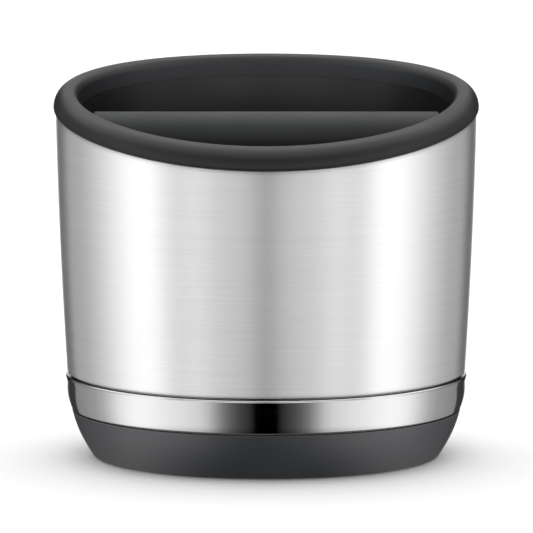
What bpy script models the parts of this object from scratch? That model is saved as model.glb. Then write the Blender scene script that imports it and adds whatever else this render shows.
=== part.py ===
"""Oval espresso knock box.

A brushed steel sleeve round a moulded tub, with a soft ring on its sloping mouth, a polished
band and a rubber boot at its foot, and a rubber covered bar that lifts out of two sockets.
Metres, +Z up, the front towards -Y. The origin is on the table, under the middle of the box.
"""

import math

import bmesh
import bpy
from mathutils import Vector

MM = 0.001

# Whole box
WIDTH = 142 * MM
DEPTH = 120 * MM
BACK_HEIGHT = 130.5 * MM
RIM_RISE = 20.4 * MM
RIM_ARCH = 3.6 * MM
GAP = 0.3 * MM
OVERRUN = 2 * MM

# Soft ring on the mouth: it stands proud of the sleeve and has a tongue that sits in the tub.
# Its outer side is a wide rounded shoulder and its inner edge a smaller one.
RING_WIDTH = 8.3 * MM
RING_HEIGHT = 6.4 * MM
RING_SHOULDER_WIDTH = 5.1 * MM
RING_SHOULDER_HEIGHT = 5.7 * MM
RING_INNER_CORNER = 2.25 * MM
RING_PROUD = 0.8 * MM
RING_LIP = 0.6 * MM
TONGUE_WIDTH = 2 * MM
TONGUE_DEPTH = 2 * MM

# Steel sleeve
SLEEVE_WALL = 0.8 * MM
SLEEVE_FOOT_HEIGHT = 28.5 * MM
SLEEVE_FOOT_ROUND = 0.6 * MM
SLEEVE_TAPER = 3.35 * MM
SLEEVE_BULGE = 0.42 * MM

# Polished band: a rolled bead along its top edge, and a lower edge that curls in
BAND_PROUD = 0.2 * MM
BAND_WALL = 0.9 * MM
BAND_HEIGHT = 12.1 * MM
BEAD_PROUD = 0.35 * MM
BEAD_ROUND = 1.2 * MM
BEAD_FADE = 2.2 * MM
BAND_CURL = 1.5 * MM
BAND_CURL_HEIGHT = 7.6 * MM
BAND_SPIGOT = 2.6 * MM
BAND_SEAM = 0.5 * MM

# Moulded tub
TUB_WALL = 2.4 * MM
TUB_FLOOR_HEIGHT = 22 * MM
TUB_CORNER = 8 * MM
FLANGE_THICKNESS = 4.4 * MM

# Base tray, its screws and the bosses that take them
TRAY_WALL = 2.2 * MM
TRAY_FLOOR = 2.6 * MM
SCREW_EDGE = 1.8 * MM
SCREW_RADIUS = 1.5 * MM
SCREW_LENGTH = 13 * MM
SCREW_HEAD_RADIUS = 3.2 * MM
SCREW_HEAD_HEIGHT = 2 * MM
SCREW_HEAD_EDGE = 0.6 * MM
BOSS_RADIUS = 4.2 * MM
BOSS_DEPTH_SPARE = 1 * MM

# Rubber boot
BOOT_WALL = 3 * MM
BOOT_FLOOR = 3 * MM
BOOT_SET_BACK = 0.2 * MM
BOOT_LEAN = 3.45 * MM
BOOT_CURL = 3.85 * MM
BOOT_CORNER = 1.6 * MM
BOOT_OPENING_INSET = 30 * MM

# Knock bar
BAR_DROP = 16.3 * MM
BAR_RADIUS = 8.5 * MM
BAR_END_ROUND = 1.2 * MM
CORE_RADIUS = 5 * MM
CORE_WALL = 1.5 * MM
CAP_HALF_WIDTH = 5.7 * MM
CAP_RISE = 4.4 * MM
CAP_CHAMFER = 1 * MM
CAP_KEY_LENGTH = 3.2 * MM
CAP_SPIGOT = 8 * MM
BAR_END_CLEARANCE = 0.5 * MM
PAD_THICKNESS = 1.2 * MM
PAD_RISE = 3.6 * MM
CHEEK_THICKNESS = 3 * MM
CHEEK_RISE = 4.6 * MM
SOCKET_TAPER = 24 * MM
SOCKET_FOOT = 3 * MM

# Angle of each screw from the box's long axis, in degrees
SCREW_TURN = 39

# Counts
AROUND = 60
TURNED_STEPS = 24
SCREW_STEPS = 16
ARC_STEPS = 5
SHOULDER_STEPS = 7
CORNER_STEPS = 4
EDGE_STEPS = 2
SLEEVE_LEVELS = 5
HIDDEN_STEPS = 3

# Shares: how far the socket's back runs into the tub wall, and the most of a width that a
# rounded corner may take
SOCKET_BACK_SHARE = 0.3
CORNER_SHARE = 0.9

MATERIALS = {
    "soft_rubber": ((0.060, 0.062, 0.066), 0.62, 0.0),
    "brushed_steel": ((0.62, 0.62, 0.61), 0.34, 1.0),
    "polished_steel": ((0.70, 0.70, 0.70), 0.06, 1.0),
    "dark_plastic": ((0.030, 0.031, 0.033), 0.55, 0.0),
    "base_rubber": ((0.072, 0.075, 0.081), 0.60, 0.0),
    "zinc_screw": ((0.48, 0.49, 0.50), 0.35, 1.0),
    "plain_steel": ((0.55, 0.55, 0.56), 0.30, 1.0),
}

RIM_MIDDLE = BACK_HEIGHT - RIM_RISE / 2
RIM_SIDE = RIM_MIDDLE + RIM_ARCH
RING_SHOULDER_DROP = min(RING_SHOULDER_HEIGHT, RING_HEIGHT - RING_LIP)
RING_ROUND = min(RING_INNER_CORNER, (RING_WIDTH - RING_SHOULDER_WIDTH) * CORNER_SHARE)
SLEEVE_DROP = RING_HEIGHT + GAP
SLEEVE_FOOT_INSET = RING_PROUD + SLEEVE_TAPER
SLEEVE_TOP_MIDDLE = RIM_MIDDLE - SLEEVE_DROP
SLEEVE_EDGE = min(SLEEVE_FOOT_ROUND, SLEEVE_WALL * CORNER_SHARE)

BAND_INSET = SLEEVE_FOOT_INSET - BAND_PROUD
BAND_TOP = SLEEVE_FOOT_HEIGHT - GAP
BAND_BOTTOM = BAND_TOP - BAND_HEIGHT
BAND_LEDGE = BAND_TOP - BAND_WALL
BAND_SPIGOT_INSET = SLEEVE_FOOT_INSET + SLEEVE_WALL + GAP
TRAY_INSET = BAND_INSET + BAND_CURL + BAND_WALL + GAP
TRAY_TOP = BAND_LEDGE - GAP
TUB_FOOT_INSET = TRAY_INSET + TRAY_WALL + GAP + TUB_WALL

BOOT_TOP = BAND_BOTTOM - BAND_SEAM
TRAY_SHOULDER = BOOT_TOP + GAP
BOOT_INSET = BAND_INSET + BAND_CURL + BOOT_SET_BACK
TRAY_BOTTOM = BOOT_FLOOR + GAP
TRAY_FLOOR_TOP = TRAY_BOTTOM + TRAY_FLOOR
BOSS_BOTTOM = TRAY_FLOOR_TOP + GAP
SCREW_HEAD_TOP = TRAY_BOTTOM - GAP
SCREW_TIP = SCREW_HEAD_TOP + SCREW_LENGTH
SCREW_INSET = BOOT_OPENING_INSET + SCREW_HEAD_RADIUS + SCREW_EDGE

BAR_HEIGHT = RIM_SIDE - BAR_DROP
PAD_INNER = CAP_HALF_WIDTH + GAP
PAD_OUTER = PAD_INNER + PAD_THICKNESS
SLOT_HALF = PAD_OUTER + GAP
CHEEK_HALF = SLOT_HALF + CHEEK_THICKNESS


def rim_height(x, y):
    """Height of the ring's crown: it rises from front to back and arches over the sides."""
    along = 2 * y / DEPTH
    across = 2 * x / WIDTH
    return RIM_MIDDLE + RIM_RISE / 2 * along + RIM_ARCH * across**2


def sleeve_inset(height):
    """How far the sleeve's face lies inside the widest oval: a straight taper plus a slight bulge."""
    share = (height - SLEEVE_FOOT_HEIGHT) / (SLEEVE_TOP_MIDDLE - SLEEVE_FOOT_HEIGHT)
    return SLEEVE_FOOT_INSET - SLEEVE_TAPER * share - 4 * SLEEVE_BULGE * share * (1 - share)


def on_oval(angle, inset, height):
    x = (WIDTH / 2 - inset) * math.cos(angle)
    y = (DEPTH / 2 - inset) * math.sin(angle)
    return Vector((x, y, height))


def flat_ring(inset, height):
    """A level ring of the plan oval."""
    return lambda angle: on_oval(angle, inset, height)


def rim_ring_line(inset, drop):
    """A ring that keeps the same drop below the crown all round the mouth."""

    def point(angle):
        place = on_oval(angle, inset, 0)
        place.z = rim_height(place.x, place.y) - drop
        return place

    return point


def sleeve_ring(extra, low, share):
    """A ring of the sleeve's wall, this share of the way from its low edge to the mouth."""

    def point(angle):
        rim = rim_ring_line(RING_PROUD + extra, SLEEVE_DROP)(angle)
        height = low + share * (rim.z - low)
        return on_oval(angle, sleeve_inset(height) + extra, height)

    return point


def flange_ring(drop):
    """The edge of the tub's flange, which fits inside the sleeve."""

    def point(angle):
        rim = rim_ring_line(RING_PROUD + SLEEVE_WALL, drop)(angle)
        return on_oval(angle, sleeve_inset(rim.z) + SLEEVE_WALL + GAP, rim.z)

    return point


def arc(centre, radius, start, end, steps=ARC_STEPS):
    """Points of an arc in a section, as (across, up) pairs; angles in degrees."""
    points = []
    for step in range(steps + 1):
        turn = math.radians(start + (end - start) * step / steps)
        points.append((centre[0] + radius * math.cos(turn), centre[1] + radius * math.sin(turn)))
    return points


def shoulder(width, height, steps):
    """A quarter ellipse in a section, from its level end down to its upright one, as (inset, drop)."""
    points = []
    for step in range(steps + 1):
        turn = math.radians(90 * step / steps)
        points.append((width * (1 - math.sin(turn)), height * (1 - math.cos(turn))))
    return points


def material(name):
    found = bpy.data.materials.get(name)
    if found:
        return found
    colour, roughness, metallic = MATERIALS[name]
    made = bpy.data.materials.new(name)
    made.use_nodes = True
    shader = made.node_tree.nodes["Principled BSDF"]
    shader.inputs["Base Color"].default_value = (*colour, 1.0)
    shader.inputs["Roughness"].default_value = roughness
    shader.inputs["Metallic"].default_value = metallic
    made.diffuse_color = (*colour, 1.0)
    return made


def finish(name, bm, material_name, sharp_angle=35):
    """Turns a bmesh into a named object with outward faces and smooth round sides."""
    bmesh.ops.recalc_face_normals(bm, faces=bm.faces)
    mesh = bpy.data.meshes.new(name)
    bm.to_mesh(mesh)
    bm.free()
    mesh.materials.append(material(material_name))
    mesh.shade_smooth()
    mesh.set_sharp_from_angle(angle=math.radians(sharp_angle))
    made = bpy.data.objects.new(name, mesh)
    bpy.context.scene.collection.objects.link(made)
    return made


def cutter(name, bm):
    made = finish(name, bm, "dark_plastic")
    made.hide_render = True
    made.display_type = "WIRE"
    return made


def combine(target, tool, operation):
    modifier = target.modifiers.new(f"{operation.lower()}_{tool.name}", "BOOLEAN")
    modifier.object = tool
    modifier.operation = operation
    modifier.solver = "EXACT"


def lofted(rings, closed):
    """Skins a list of rings: a closed list makes a hoop, an open one is capped at both ends."""
    bm = bmesh.new()
    angles = [2 * math.pi * step / AROUND for step in range(AROUND)]
    rows = [[bm.verts.new(ring(angle)) for angle in angles] for ring in rings]
    pairs = list(zip(rows, rows[1:]))
    if closed:
        pairs.append((rows[-1], rows[0]))
    else:
        bm.faces.new(rows[0])
        bm.faces.new(rows[-1])
    for low, high in pairs:
        for step in range(AROUND):
            after = (step + 1) % AROUND
            bm.faces.new((low[step], low[after], high[after], high[step]))
    return bm


def turned(profile, steps, axis):
    """Spins a closed outline of (radius, along) pairs about the axis, X or Z, through the origin."""
    bm = bmesh.new()
    if axis == "X":
        spots = [(along, 0, radius) for radius, along in profile]
        direction = (1, 0, 0)
    else:
        spots = [(radius, 0, along) for radius, along in profile]
        direction = (0, 0, 1)
    verts = [bm.verts.new(spot) for spot in spots]
    edges = [bm.edges.new(pair) for pair in zip(verts, verts[1:] + verts[:1])]
    bmesh.ops.spin(
        bm, geom=verts + edges, cent=(0, 0, 0), axis=direction, angle=2 * math.pi, steps=steps
    )
    bmesh.ops.remove_doubles(bm, verts=bm.verts, dist=GAP / 1000)
    loose = [edge for edge in bm.edges if not edge.link_faces or edge.calc_length() == 0]
    bmesh.ops.delete(bm, geom=loose, context="EDGES")
    return bm


def slab(outline, near, far):
    """Extrudes a (y, z) outline along X, from near to far."""
    bm = bmesh.new()
    face = bm.faces.new([bm.verts.new((near, y, z)) for y, z in outline])
    grown = bmesh.ops.extrude_face_region(bm, geom=[face])["geom"]
    moved = [item for item in grown if isinstance(item, bmesh.types.BMVert)]
    bmesh.ops.translate(bm, vec=(far - near, 0, 0), verts=moved)
    return bm


def cylinder(radius, low, high, x=0, y=0, steps=SCREW_STEPS):
    bm = bmesh.new()
    bmesh.ops.create_cone(
        bm, cap_ends=True, segments=steps, radius1=radius, radius2=radius, depth=high - low
    )
    bmesh.ops.translate(bm, vec=(x, y, (low + high) / 2), verts=bm.verts)
    return bm


def make_rim_ring():
    """The soft ring: wide outer shoulder, return to the sleeve, tongue below, rounded inner edge."""
    middle = tongue_middle()
    outer = shoulder(RING_SHOULDER_WIDTH, RING_SHOULDER_DROP, SHOULDER_STEPS)
    lip = []
    for step in range(1, EDGE_STEPS + 1):
        share = step / EDGE_STEPS
        drop = RING_SHOULDER_DROP + (RING_HEIGHT - RING_SHOULDER_DROP) * share
        lip.append((RING_LIP * share**2, drop))
    tongue = [
        (middle - TONGUE_WIDTH / 2, RING_HEIGHT),
        (middle - TONGUE_WIDTH / 2, RING_HEIGHT + TONGUE_DEPTH),
        (middle + TONGUE_WIDTH / 2, RING_HEIGHT + TONGUE_DEPTH),
        (middle + TONGUE_WIDTH / 2, RING_HEIGHT),
    ]
    centre = (RING_WIDTH - RING_ROUND, RING_ROUND)
    inner = [(RING_WIDTH, RING_HEIGHT)] + arc(centre, RING_ROUND, 0, -90, CORNER_STEPS)
    rings = [rim_ring_line(inset, drop) for inset, drop in outer + lip + tongue + inner]
    return finish("rim_ring", lofted(rings, True), "soft_rubber")


def tongue_middle():
    """The ring's tongue runs midway between the flange's edge and the tub's inner face."""
    flange_edge = RING_PROUD + SLEEVE_WALL + GAP
    return (flange_edge + RING_WIDTH) / 2


def make_outer_sleeve():
    """The steel sleeve, with the outer edge of its foot rounded in."""
    low = SLEEVE_FOOT_HEIGHT + SLEEVE_EDGE
    edge = arc((SLEEVE_FOOT_INSET + SLEEVE_EDGE, low), SLEEVE_EDGE, 270, 180, EDGE_STEPS)
    foot = [flat_ring(inset, height) for inset, height in edge[:-1]]
    outside = [sleeve_ring(0, low, level / SLEEVE_LEVELS) for level in range(SLEEVE_LEVELS + 1)]
    inside = []
    for level in range(HIDDEN_STEPS, -1, -1):
        inside.append(sleeve_ring(SLEEVE_WALL, SLEEVE_FOOT_HEIGHT, level / HIDDEN_STEPS))
    return finish("outer_sleeve", lofted(foot + outside + inside, True), "brushed_steel")


def band_curl():
    """The band's lower edge in section: it curls in towards its bottom."""
    curl = []
    for step in range(CORNER_STEPS + 1):
        share = 1 - step / CORNER_STEPS
        curl.append((BAND_INSET + BAND_CURL * share**2, BAND_BOTTOM + BAND_CURL_HEIGHT * (1 - share)))
    return curl


def band_bead():
    """The rolled bead in section: it swells out of the band's wall and rounds over at the top."""
    crown = BAND_INSET - BEAD_PROUD
    low = BAND_TOP - BEAD_ROUND - BEAD_FADE
    bead = []
    for step in range(EDGE_STEPS + 1):
        share = step / (EDGE_STEPS + 1)
        swell = BEAD_PROUD * (1 - math.cos(math.pi * share)) / 2
        bead.append((BAND_INSET - swell, low + BEAD_FADE * share))
    centre = (crown + BEAD_ROUND, BAND_TOP - BEAD_ROUND)
    return bead + arc(centre, BEAD_ROUND, 180, 90, CORNER_STEPS)


def make_trim_band():
    """The polished band: curled lower edge, bead, and a ledge and spigot that take the sleeve."""
    curl = band_curl()
    ledge_end = TRAY_INSET + TRAY_WALL
    spigot_top = SLEEVE_FOOT_HEIGHT + BAND_SPIGOT
    ledge = [
        (BAND_SPIGOT_INSET, BAND_TOP),
        (BAND_SPIGOT_INSET, spigot_top),
        (BAND_SPIGOT_INSET + BAND_WALL, spigot_top),
        (BAND_SPIGOT_INSET + BAND_WALL, BAND_TOP),
        (ledge_end, BAND_TOP),
        (ledge_end, BAND_LEDGE),
    ]
    inside = [(BAND_INSET + BAND_WALL, BAND_LEDGE)]
    for inset, height in reversed(curl[::2]):
        inside.append((inset + BAND_WALL, height))
    rings = [flat_ring(inset, height) for inset, height in curl + band_bead() + ledge + inside]
    return finish("trim_band", lofted(rings, True), "polished_steel")


def tub_shell():
    """The tub's wall and floor as one open-topped shell, with the flange that carries the ring."""
    middle = tongue_middle()
    outer_round = TUB_CORNER + TUB_WALL
    outer_foot = TUB_FOOT_INSET - TUB_WALL
    centre = (outer_foot + outer_round, TUB_FLOOR_HEIGHT + outer_round)
    outer = [flat_ring(*spot) for spot in arc(centre, outer_round, 270, 180, HIDDEN_STEPS)]
    inner = [flat_ring(*spot) for spot in arc(centre, TUB_CORNER, 180, 270)]
    channel = TONGUE_WIDTH / 2 + GAP
    channel_floor = SLEEVE_DROP + TONGUE_DEPTH
    flange_drop = SLEEVE_DROP + FLANGE_THICKNESS
    flange = [
        rim_ring_line(RING_WIDTH - TUB_WALL, flange_drop),
        flange_ring(flange_drop),
        flange_ring(SLEEVE_DROP),
        rim_ring_line(middle - channel, SLEEVE_DROP),
        rim_ring_line(middle - channel, channel_floor),
        rim_ring_line(middle + channel, channel_floor),
        rim_ring_line(middle + channel, SLEEVE_DROP),
        rim_ring_line(RING_WIDTH, SLEEVE_DROP),
    ]
    return lofted(outer + flange + inner, False)


def tub_wall_inset(height):
    """Inset of the tub's inner face at the sides, where the sockets stand on it."""
    foot = TUB_FLOOR_HEIGHT + TUB_WALL + TUB_CORNER
    top = RIM_SIDE - SLEEVE_DROP
    share = (height - foot) / (top - foot)
    return TUB_FOOT_INSET + (RING_WIDTH - TUB_FOOT_INSET) * share


def cap_end():
    """The bar's end clears the ring's inner edge by the end clearance, at the cap's full width."""
    across = CAP_HALF_WIDTH / (DEPTH / 2 - RING_WIDTH)
    return (WIDTH / 2 - RING_WIDTH) * math.sqrt(1 - across**2) - BAR_END_CLEARANCE


def socket_face():
    """Where the socket's inner face stands, which is also where the bar's round part ends."""
    return cap_end() - CAP_KEY_LENGTH - GAP


def cup_outline(half_width, rise, steps=2 * ARC_STEPS):
    """A round-bottomed outline about the bar's axis, as (y, z) pairs, open side up."""
    bottom = arc((0, BAR_HEIGHT), half_width, 180, 360, steps)
    return [(-half_width, BAR_HEIGHT + rise)] + bottom + [(half_width, BAR_HEIGHT + rise)]


def socket_block(side):
    """The moulded block of one socket, tapering down into the tub wall."""
    bm = bmesh.new()
    wall = WIDTH / 2 - tub_wall_inset(BAR_HEIGHT)
    back = wall + TUB_WALL * SOCKET_BACK_SHARE
    for y, z in cup_outline(CHEEK_HALF, CHEEK_RISE):
        bm.verts.new((side * socket_face(), y, z))
        bm.verts.new((side * back, y, z))
    low = BAR_HEIGHT - CHEEK_HALF - SOCKET_TAPER
    low_wall = WIDTH / 2 - tub_wall_inset(low) + TUB_WALL * SOCKET_BACK_SHARE
    for y in (-SOCKET_FOOT, SOCKET_FOOT):
        bm.verts.new((side * low_wall, y, low))
    bmesh.ops.convex_hull(bm, input=bm.verts)
    spare = [vert for vert in bm.verts if not vert.link_faces]
    bmesh.ops.delete(bm, geom=spare, context="VERTS")
    return bm


def make_inner_tub():
    tub = finish("inner_tub", tub_shell(), "dark_plastic")
    for label, side in (("left", -1), ("right", 1)):
        combine(tub, cutter(f"socket_block_{label}", socket_block(side)), "UNION")
        slot = slab(
            cup_outline(SLOT_HALF, CHEEK_RISE + OVERRUN),
            side * (socket_face() - OVERRUN),
            side * (cap_end() + GAP + GAP),
        )
        combine(tub, cutter(f"socket_slot_{label}", slot), "DIFFERENCE")
    for index, (x, y) in enumerate(screw_places(), 1):
        floor_middle = TUB_FLOOR_HEIGHT + TUB_WALL / 2
        boss = cylinder(BOSS_RADIUS, BOSS_BOTTOM, floor_middle, x, y)
        combine(tub, cutter(f"boss_{index}", boss), "UNION")
        hole = cylinder(
            SCREW_RADIUS + GAP, BOSS_BOTTOM - OVERRUN, SCREW_TIP + BOSS_DEPTH_SPARE, x, y
        )
        combine(tub, cutter(f"boss_hole_{index}", hole), "DIFFERENCE")
    return tub


def screw_places():
    """One screw in each quarter, just inside the boot's opening."""
    place = on_oval(math.radians(SCREW_TURN), SCREW_INSET, 0)
    return [(x, y) for y in (-place.y, place.y) for x in (-place.x, place.x)]


def boot_inset(height):
    """The boot's outer face: it leans in and curls further in towards the table."""
    share = (BOOT_TOP - height) / BOOT_TOP
    return BOOT_INSET + BOOT_LEAN * share + BOOT_CURL * share**2


def boot_levels(low, count):
    """Evenly spaced heights from this one up to the boot's top."""
    return [low + (BOOT_TOP - low) * step / count for step in range(count + 1)]


def boot_corner():
    """The boot's lower corner, which rounds off the leaning wall without a crease."""
    lean = math.atan((BOOT_LEAN + 2 * BOOT_CURL) / BOOT_TOP)
    start = BOOT_CORNER * (1 - math.sin(lean))
    centre = (boot_inset(start) + BOOT_CORNER * math.cos(lean), BOOT_CORNER)
    return arc(centre, BOOT_CORNER, 180 + math.degrees(lean), 270, EDGE_STEPS)


def make_base_boot():
    """The rubber boot: a curved wall, a rounded corner, and a foot that is open in the middle."""
    corner = boot_corner()
    start = corner[0][1]
    outside = [(boot_inset(height), height) for height in reversed(boot_levels(start, ARC_STEPS))]
    foot = [(BOOT_OPENING_INSET, 0), (BOOT_OPENING_INSET, BOOT_FLOOR)]
    inside = [(boot_inset(height) + BOOT_WALL, height) for height in boot_levels(BOOT_FLOOR, HIDDEN_STEPS)]
    rings = [flat_ring(inset, height) for inset, height in outside + corner[1:] + foot + inside]
    return finish("base_boot", lofted(rings, True), "base_rubber")


def make_base_tray():
    """The moulded tray inside the boot, with a shoulder over the boot and a wall for the band."""
    outside = []
    for height in boot_levels(TRAY_BOTTOM, HIDDEN_STEPS):
        outside.append((boot_inset(height) + BOOT_WALL + GAP, height))
    lower_top = outside[-1][0]
    wall = [
        (lower_top, TRAY_SHOULDER),
        (TRAY_INSET, TRAY_SHOULDER),
        (TRAY_INSET, TRAY_TOP),
        (TRAY_INSET + TRAY_WALL, TRAY_TOP),
        (TRAY_INSET + TRAY_WALL, TRAY_SHOULDER + TRAY_WALL),
        (lower_top + TRAY_WALL, TRAY_SHOULDER),
    ]
    inside = []
    for height in reversed(boot_levels(TRAY_FLOOR_TOP, HIDDEN_STEPS)):
        inside.append((boot_inset(height) + BOOT_WALL + GAP + TRAY_WALL, height))
    rings = [flat_ring(inset, height) for inset, height in outside + wall + inside[1:]]
    tray = finish("base_tray", lofted(rings, False), "dark_plastic")
    for index, (x, y) in enumerate(screw_places(), 1):
        hole = cylinder(SCREW_RADIUS + GAP, TRAY_BOTTOM - OVERRUN, TRAY_FLOOR_TOP + OVERRUN, x, y)
        combine(tray, cutter(f"tray_hole_{index}", hole), "DIFFERENCE")
    return tray


def make_screw(index, x, y):
    """A pan head screw, standing head down under the tray."""
    head_bottom = SCREW_HEAD_TOP - SCREW_HEAD_HEIGHT
    profile = [
        (0, head_bottom),
        (SCREW_HEAD_RADIUS - SCREW_HEAD_EDGE, head_bottom),
        (SCREW_HEAD_RADIUS, head_bottom + SCREW_HEAD_EDGE),
        (SCREW_HEAD_RADIUS, SCREW_HEAD_TOP),
        (SCREW_RADIUS, SCREW_HEAD_TOP),
        (SCREW_RADIUS, SCREW_TIP - SCREW_RADIUS),
        (0, SCREW_TIP),
    ]
    screw = finish(f"base_screw_{index}", turned(profile, SCREW_STEPS, "Z"), "zinc_screw")
    screw.location = (x, y, 0)
    return screw


def make_socket_pad(label, side):
    """The rubber liner of one socket: a cup outline with its inner cup taken out."""
    outer = cup_outline(PAD_OUTER, PAD_RISE)
    inner = cup_outline(PAD_INNER, PAD_RISE)
    near = side * (socket_face() + GAP)
    far = side * (cap_end() + GAP)
    pad = slab(outer + inner[::-1], near, far)
    return finish(f"socket_pad_{label}", pad, "soft_rubber")


def make_bar_core(carrier):
    length = socket_face() - GAP
    inner = CORE_RADIUS - CORE_WALL
    profile = [(inner, -length), (CORE_RADIUS, -length), (CORE_RADIUS, length), (inner, length)]
    core = finish("bar_core", turned(profile, TURNED_STEPS, "X"), "plain_steel")
    core.parent = carrier
    return core


def make_bar_rubber(carrier):
    """The bar's rubber tube, with rounded ends, over the steel core."""
    length = socket_face() - GAP
    inner = CORE_RADIUS + GAP
    right = arc((length - BAR_END_ROUND, BAR_RADIUS - BAR_END_ROUND), BAR_END_ROUND, 90, 0, 3)
    profile = [(radius, along) for along, radius in right] + [(inner, length), (inner, -length)]
    profile += [(radius, -along) for along, radius in reversed(right)]
    rubber = finish("bar_rubber", turned(profile, TURNED_STEPS, "X"), "soft_rubber")
    rubber.parent = carrier
    return rubber


def make_bar_cap(carrier, label, side):
    """An end cap: a flat-sided key that fills the socket, with a spigot up the steel core."""
    outline = arc((0, 0), CAP_HALF_WIDTH, 180, 360, 2 * ARC_STEPS)
    outline += [
        (CAP_HALF_WIDTH, CAP_RISE - CAP_CHAMFER),
        (CAP_HALF_WIDTH - CAP_CHAMFER, CAP_RISE),
        (CAP_CHAMFER - CAP_HALF_WIDTH, CAP_RISE),
        (-CAP_HALF_WIDTH, CAP_RISE - CAP_CHAMFER),
    ]
    cap = finish(f"bar_cap_{label}", slab(outline, side * socket_face(), side * cap_end()), "dark_plastic")
    radius = CORE_RADIUS - CORE_WALL - GAP
    start = side * (socket_face() - CAP_SPIGOT)
    end = side * (socket_face() + CAP_KEY_LENGTH / 2)
    profile = [(0, start), (radius, start), (radius, end), (0, end)]
    spigot = cutter(f"cap_spigot_{label}", turned(profile, SCREW_STEPS, "X"))
    spigot.parent = carrier
    cap.parent = carrier
    combine(cap, spigot, "UNION")
    return cap


def clear_scene():
    for found in list(bpy.data.objects):
        bpy.data.objects.remove(found, do_unlink=True)


def main():
    clear_scene()
    make_rim_ring()
    make_outer_sleeve()
    make_trim_band()
    make_inner_tub()
    make_base_tray()
    make_base_boot()
    for index, (x, y) in enumerate(screw_places(), 1):
        make_screw(index, x, y)
    carrier = bpy.data.objects.new("bar_axis", None)
    carrier.location = (0, 0, BAR_HEIGHT)
    bpy.context.scene.collection.objects.link(carrier)
    make_bar_core(carrier)
    make_bar_rubber(carrier)
    for label, side in (("left", -1), ("right", 1)):
        make_socket_pad(label, side)
        make_bar_cap(carrier, label, side)


main()
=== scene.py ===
"""Looks of the oval espresso knock box: fine surfaces, finishes, floor, light and camera.

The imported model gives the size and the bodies. Round pieces are lofted again from the same
sections with more points, and the moulded ones are welded copies with eased edges.

An inset is measured inwards from the widest oval, WIDTH by DEPTH, and a drop is measured down
from the ring's crown. A section is a list of pairs: inset and height, or inset and drop.
"""

import math

import bmesh
import bpy
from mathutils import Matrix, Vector


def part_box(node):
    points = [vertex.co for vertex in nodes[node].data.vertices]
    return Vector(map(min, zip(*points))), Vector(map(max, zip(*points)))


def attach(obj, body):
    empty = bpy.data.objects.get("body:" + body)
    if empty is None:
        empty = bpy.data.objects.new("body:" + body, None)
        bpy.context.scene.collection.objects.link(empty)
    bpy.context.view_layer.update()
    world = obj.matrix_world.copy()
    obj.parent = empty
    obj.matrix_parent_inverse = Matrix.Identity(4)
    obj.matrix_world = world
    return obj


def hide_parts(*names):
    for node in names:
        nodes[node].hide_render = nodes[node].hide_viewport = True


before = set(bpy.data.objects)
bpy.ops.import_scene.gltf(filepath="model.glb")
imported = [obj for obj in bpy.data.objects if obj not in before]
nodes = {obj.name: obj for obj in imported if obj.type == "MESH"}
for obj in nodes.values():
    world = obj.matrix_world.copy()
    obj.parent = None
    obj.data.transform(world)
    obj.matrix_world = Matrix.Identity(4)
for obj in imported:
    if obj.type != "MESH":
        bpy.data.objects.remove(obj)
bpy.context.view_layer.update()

MM = 0.001
HALF_TURN = 180

# Whole box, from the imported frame
RING_LOW, RING_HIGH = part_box("rim_ring")
WIDTH = RING_HIGH.x - RING_LOW.x
DEPTH = RING_HIGH.y - RING_LOW.y

# Sloping, arched mouth and the soft ring on it
RIM_MIDDLE = 120.3 * MM
RIM_RISE = 20.4 * MM
RIM_ARCH = 3.6 * MM
RING_WIDTH = 8.3 * MM
RING_HEIGHT = 6.4 * MM
RING_SHOULDER_WIDTH = 5.1 * MM
RING_SHOULDER_HEIGHT = 5.7 * MM
RING_INNER_CORNER = 2.25 * MM
RING_PROUD = 0.8 * MM
RING_LIP = 0.6 * MM
RING_SEAL = 0.24 * MM
TONGUE_WIDTH = 2 * MM
TONGUE_DEPTH = 2 * MM
TONGUE_INSET = 4.1 * MM

# Steel sleeve
SLEEVE_WALL = 0.8 * MM
SLEEVE_FOOT_HEIGHT = 28.5 * MM
SLEEVE_FOOT_INSET = 4.15 * MM
SLEEVE_FOOT_GAP = 0.05 * MM
SLEEVE_CURL = 0.72 * MM
SLEEVE_CURL_HEIGHT = 1.2 * MM
SLEEVE_TAPER = 3.35 * MM
SLEEVE_BULGE = 0.42 * MM
SLEEVE_DROP = 6.7 * MM

# Polished band; the hem's and the bead's rounds are given in degrees
BAND_INSET = 3.95 * MM
BAND_WALL = 0.9 * MM
BAND_TOP = 27.95 * MM
BAND_BOTTOM = 16.3 * MM
BEAD_PROUD = 0.35 * MM
BEAD_WIDTH = 1.1 * MM
BEAD_ROUND = 0.65 * MM
BEAD_FADE = 2.2 * MM
BEAD_TURN = 150
GROOVE_FLOOR = 27.3 * MM
# The groove's painted shade starts this far in
GROOVE_SHADE_INSET = 4.45 * MM
GROOVE_EDGE = 0.1 * MM
BAND_CURL = 1.5 * MM
BAND_CURL_HEIGHT = 7.4 * MM
BAND_HEM = 0.8 * MM
HEM_END = 205
SPIGOT_INSET = 5.25 * MM
SPIGOT_TOP = 31.1 * MM

# Rubber boot; its top edge is round as far as this many degrees
BOOT_TOP = 15.95 * MM
BOOT_INSET = 5.65 * MM
BOOT_WALL = 3 * MM
BOOT_FLOOR = 3 * MM
BOOT_LEAN = 3.45 * MM
BOOT_CURL = 3.85 * MM
BOOT_CORNER = 1.6 * MM
BOOT_TOP_ROUND = 0.3 * MM
BOOT_TOP_END = 165
BOOT_OPENING_INSET = 30 * MM
BOOT_OPENING_ROUND = 0.8 * MM

# Bar
BAR_HEIGHT = 107.6 * MM
BAR_RADIUS = 8.5 * MM
BAR_BORE = 5.3 * MM
BAR_END_ROUND = 1.2 * MM

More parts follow.
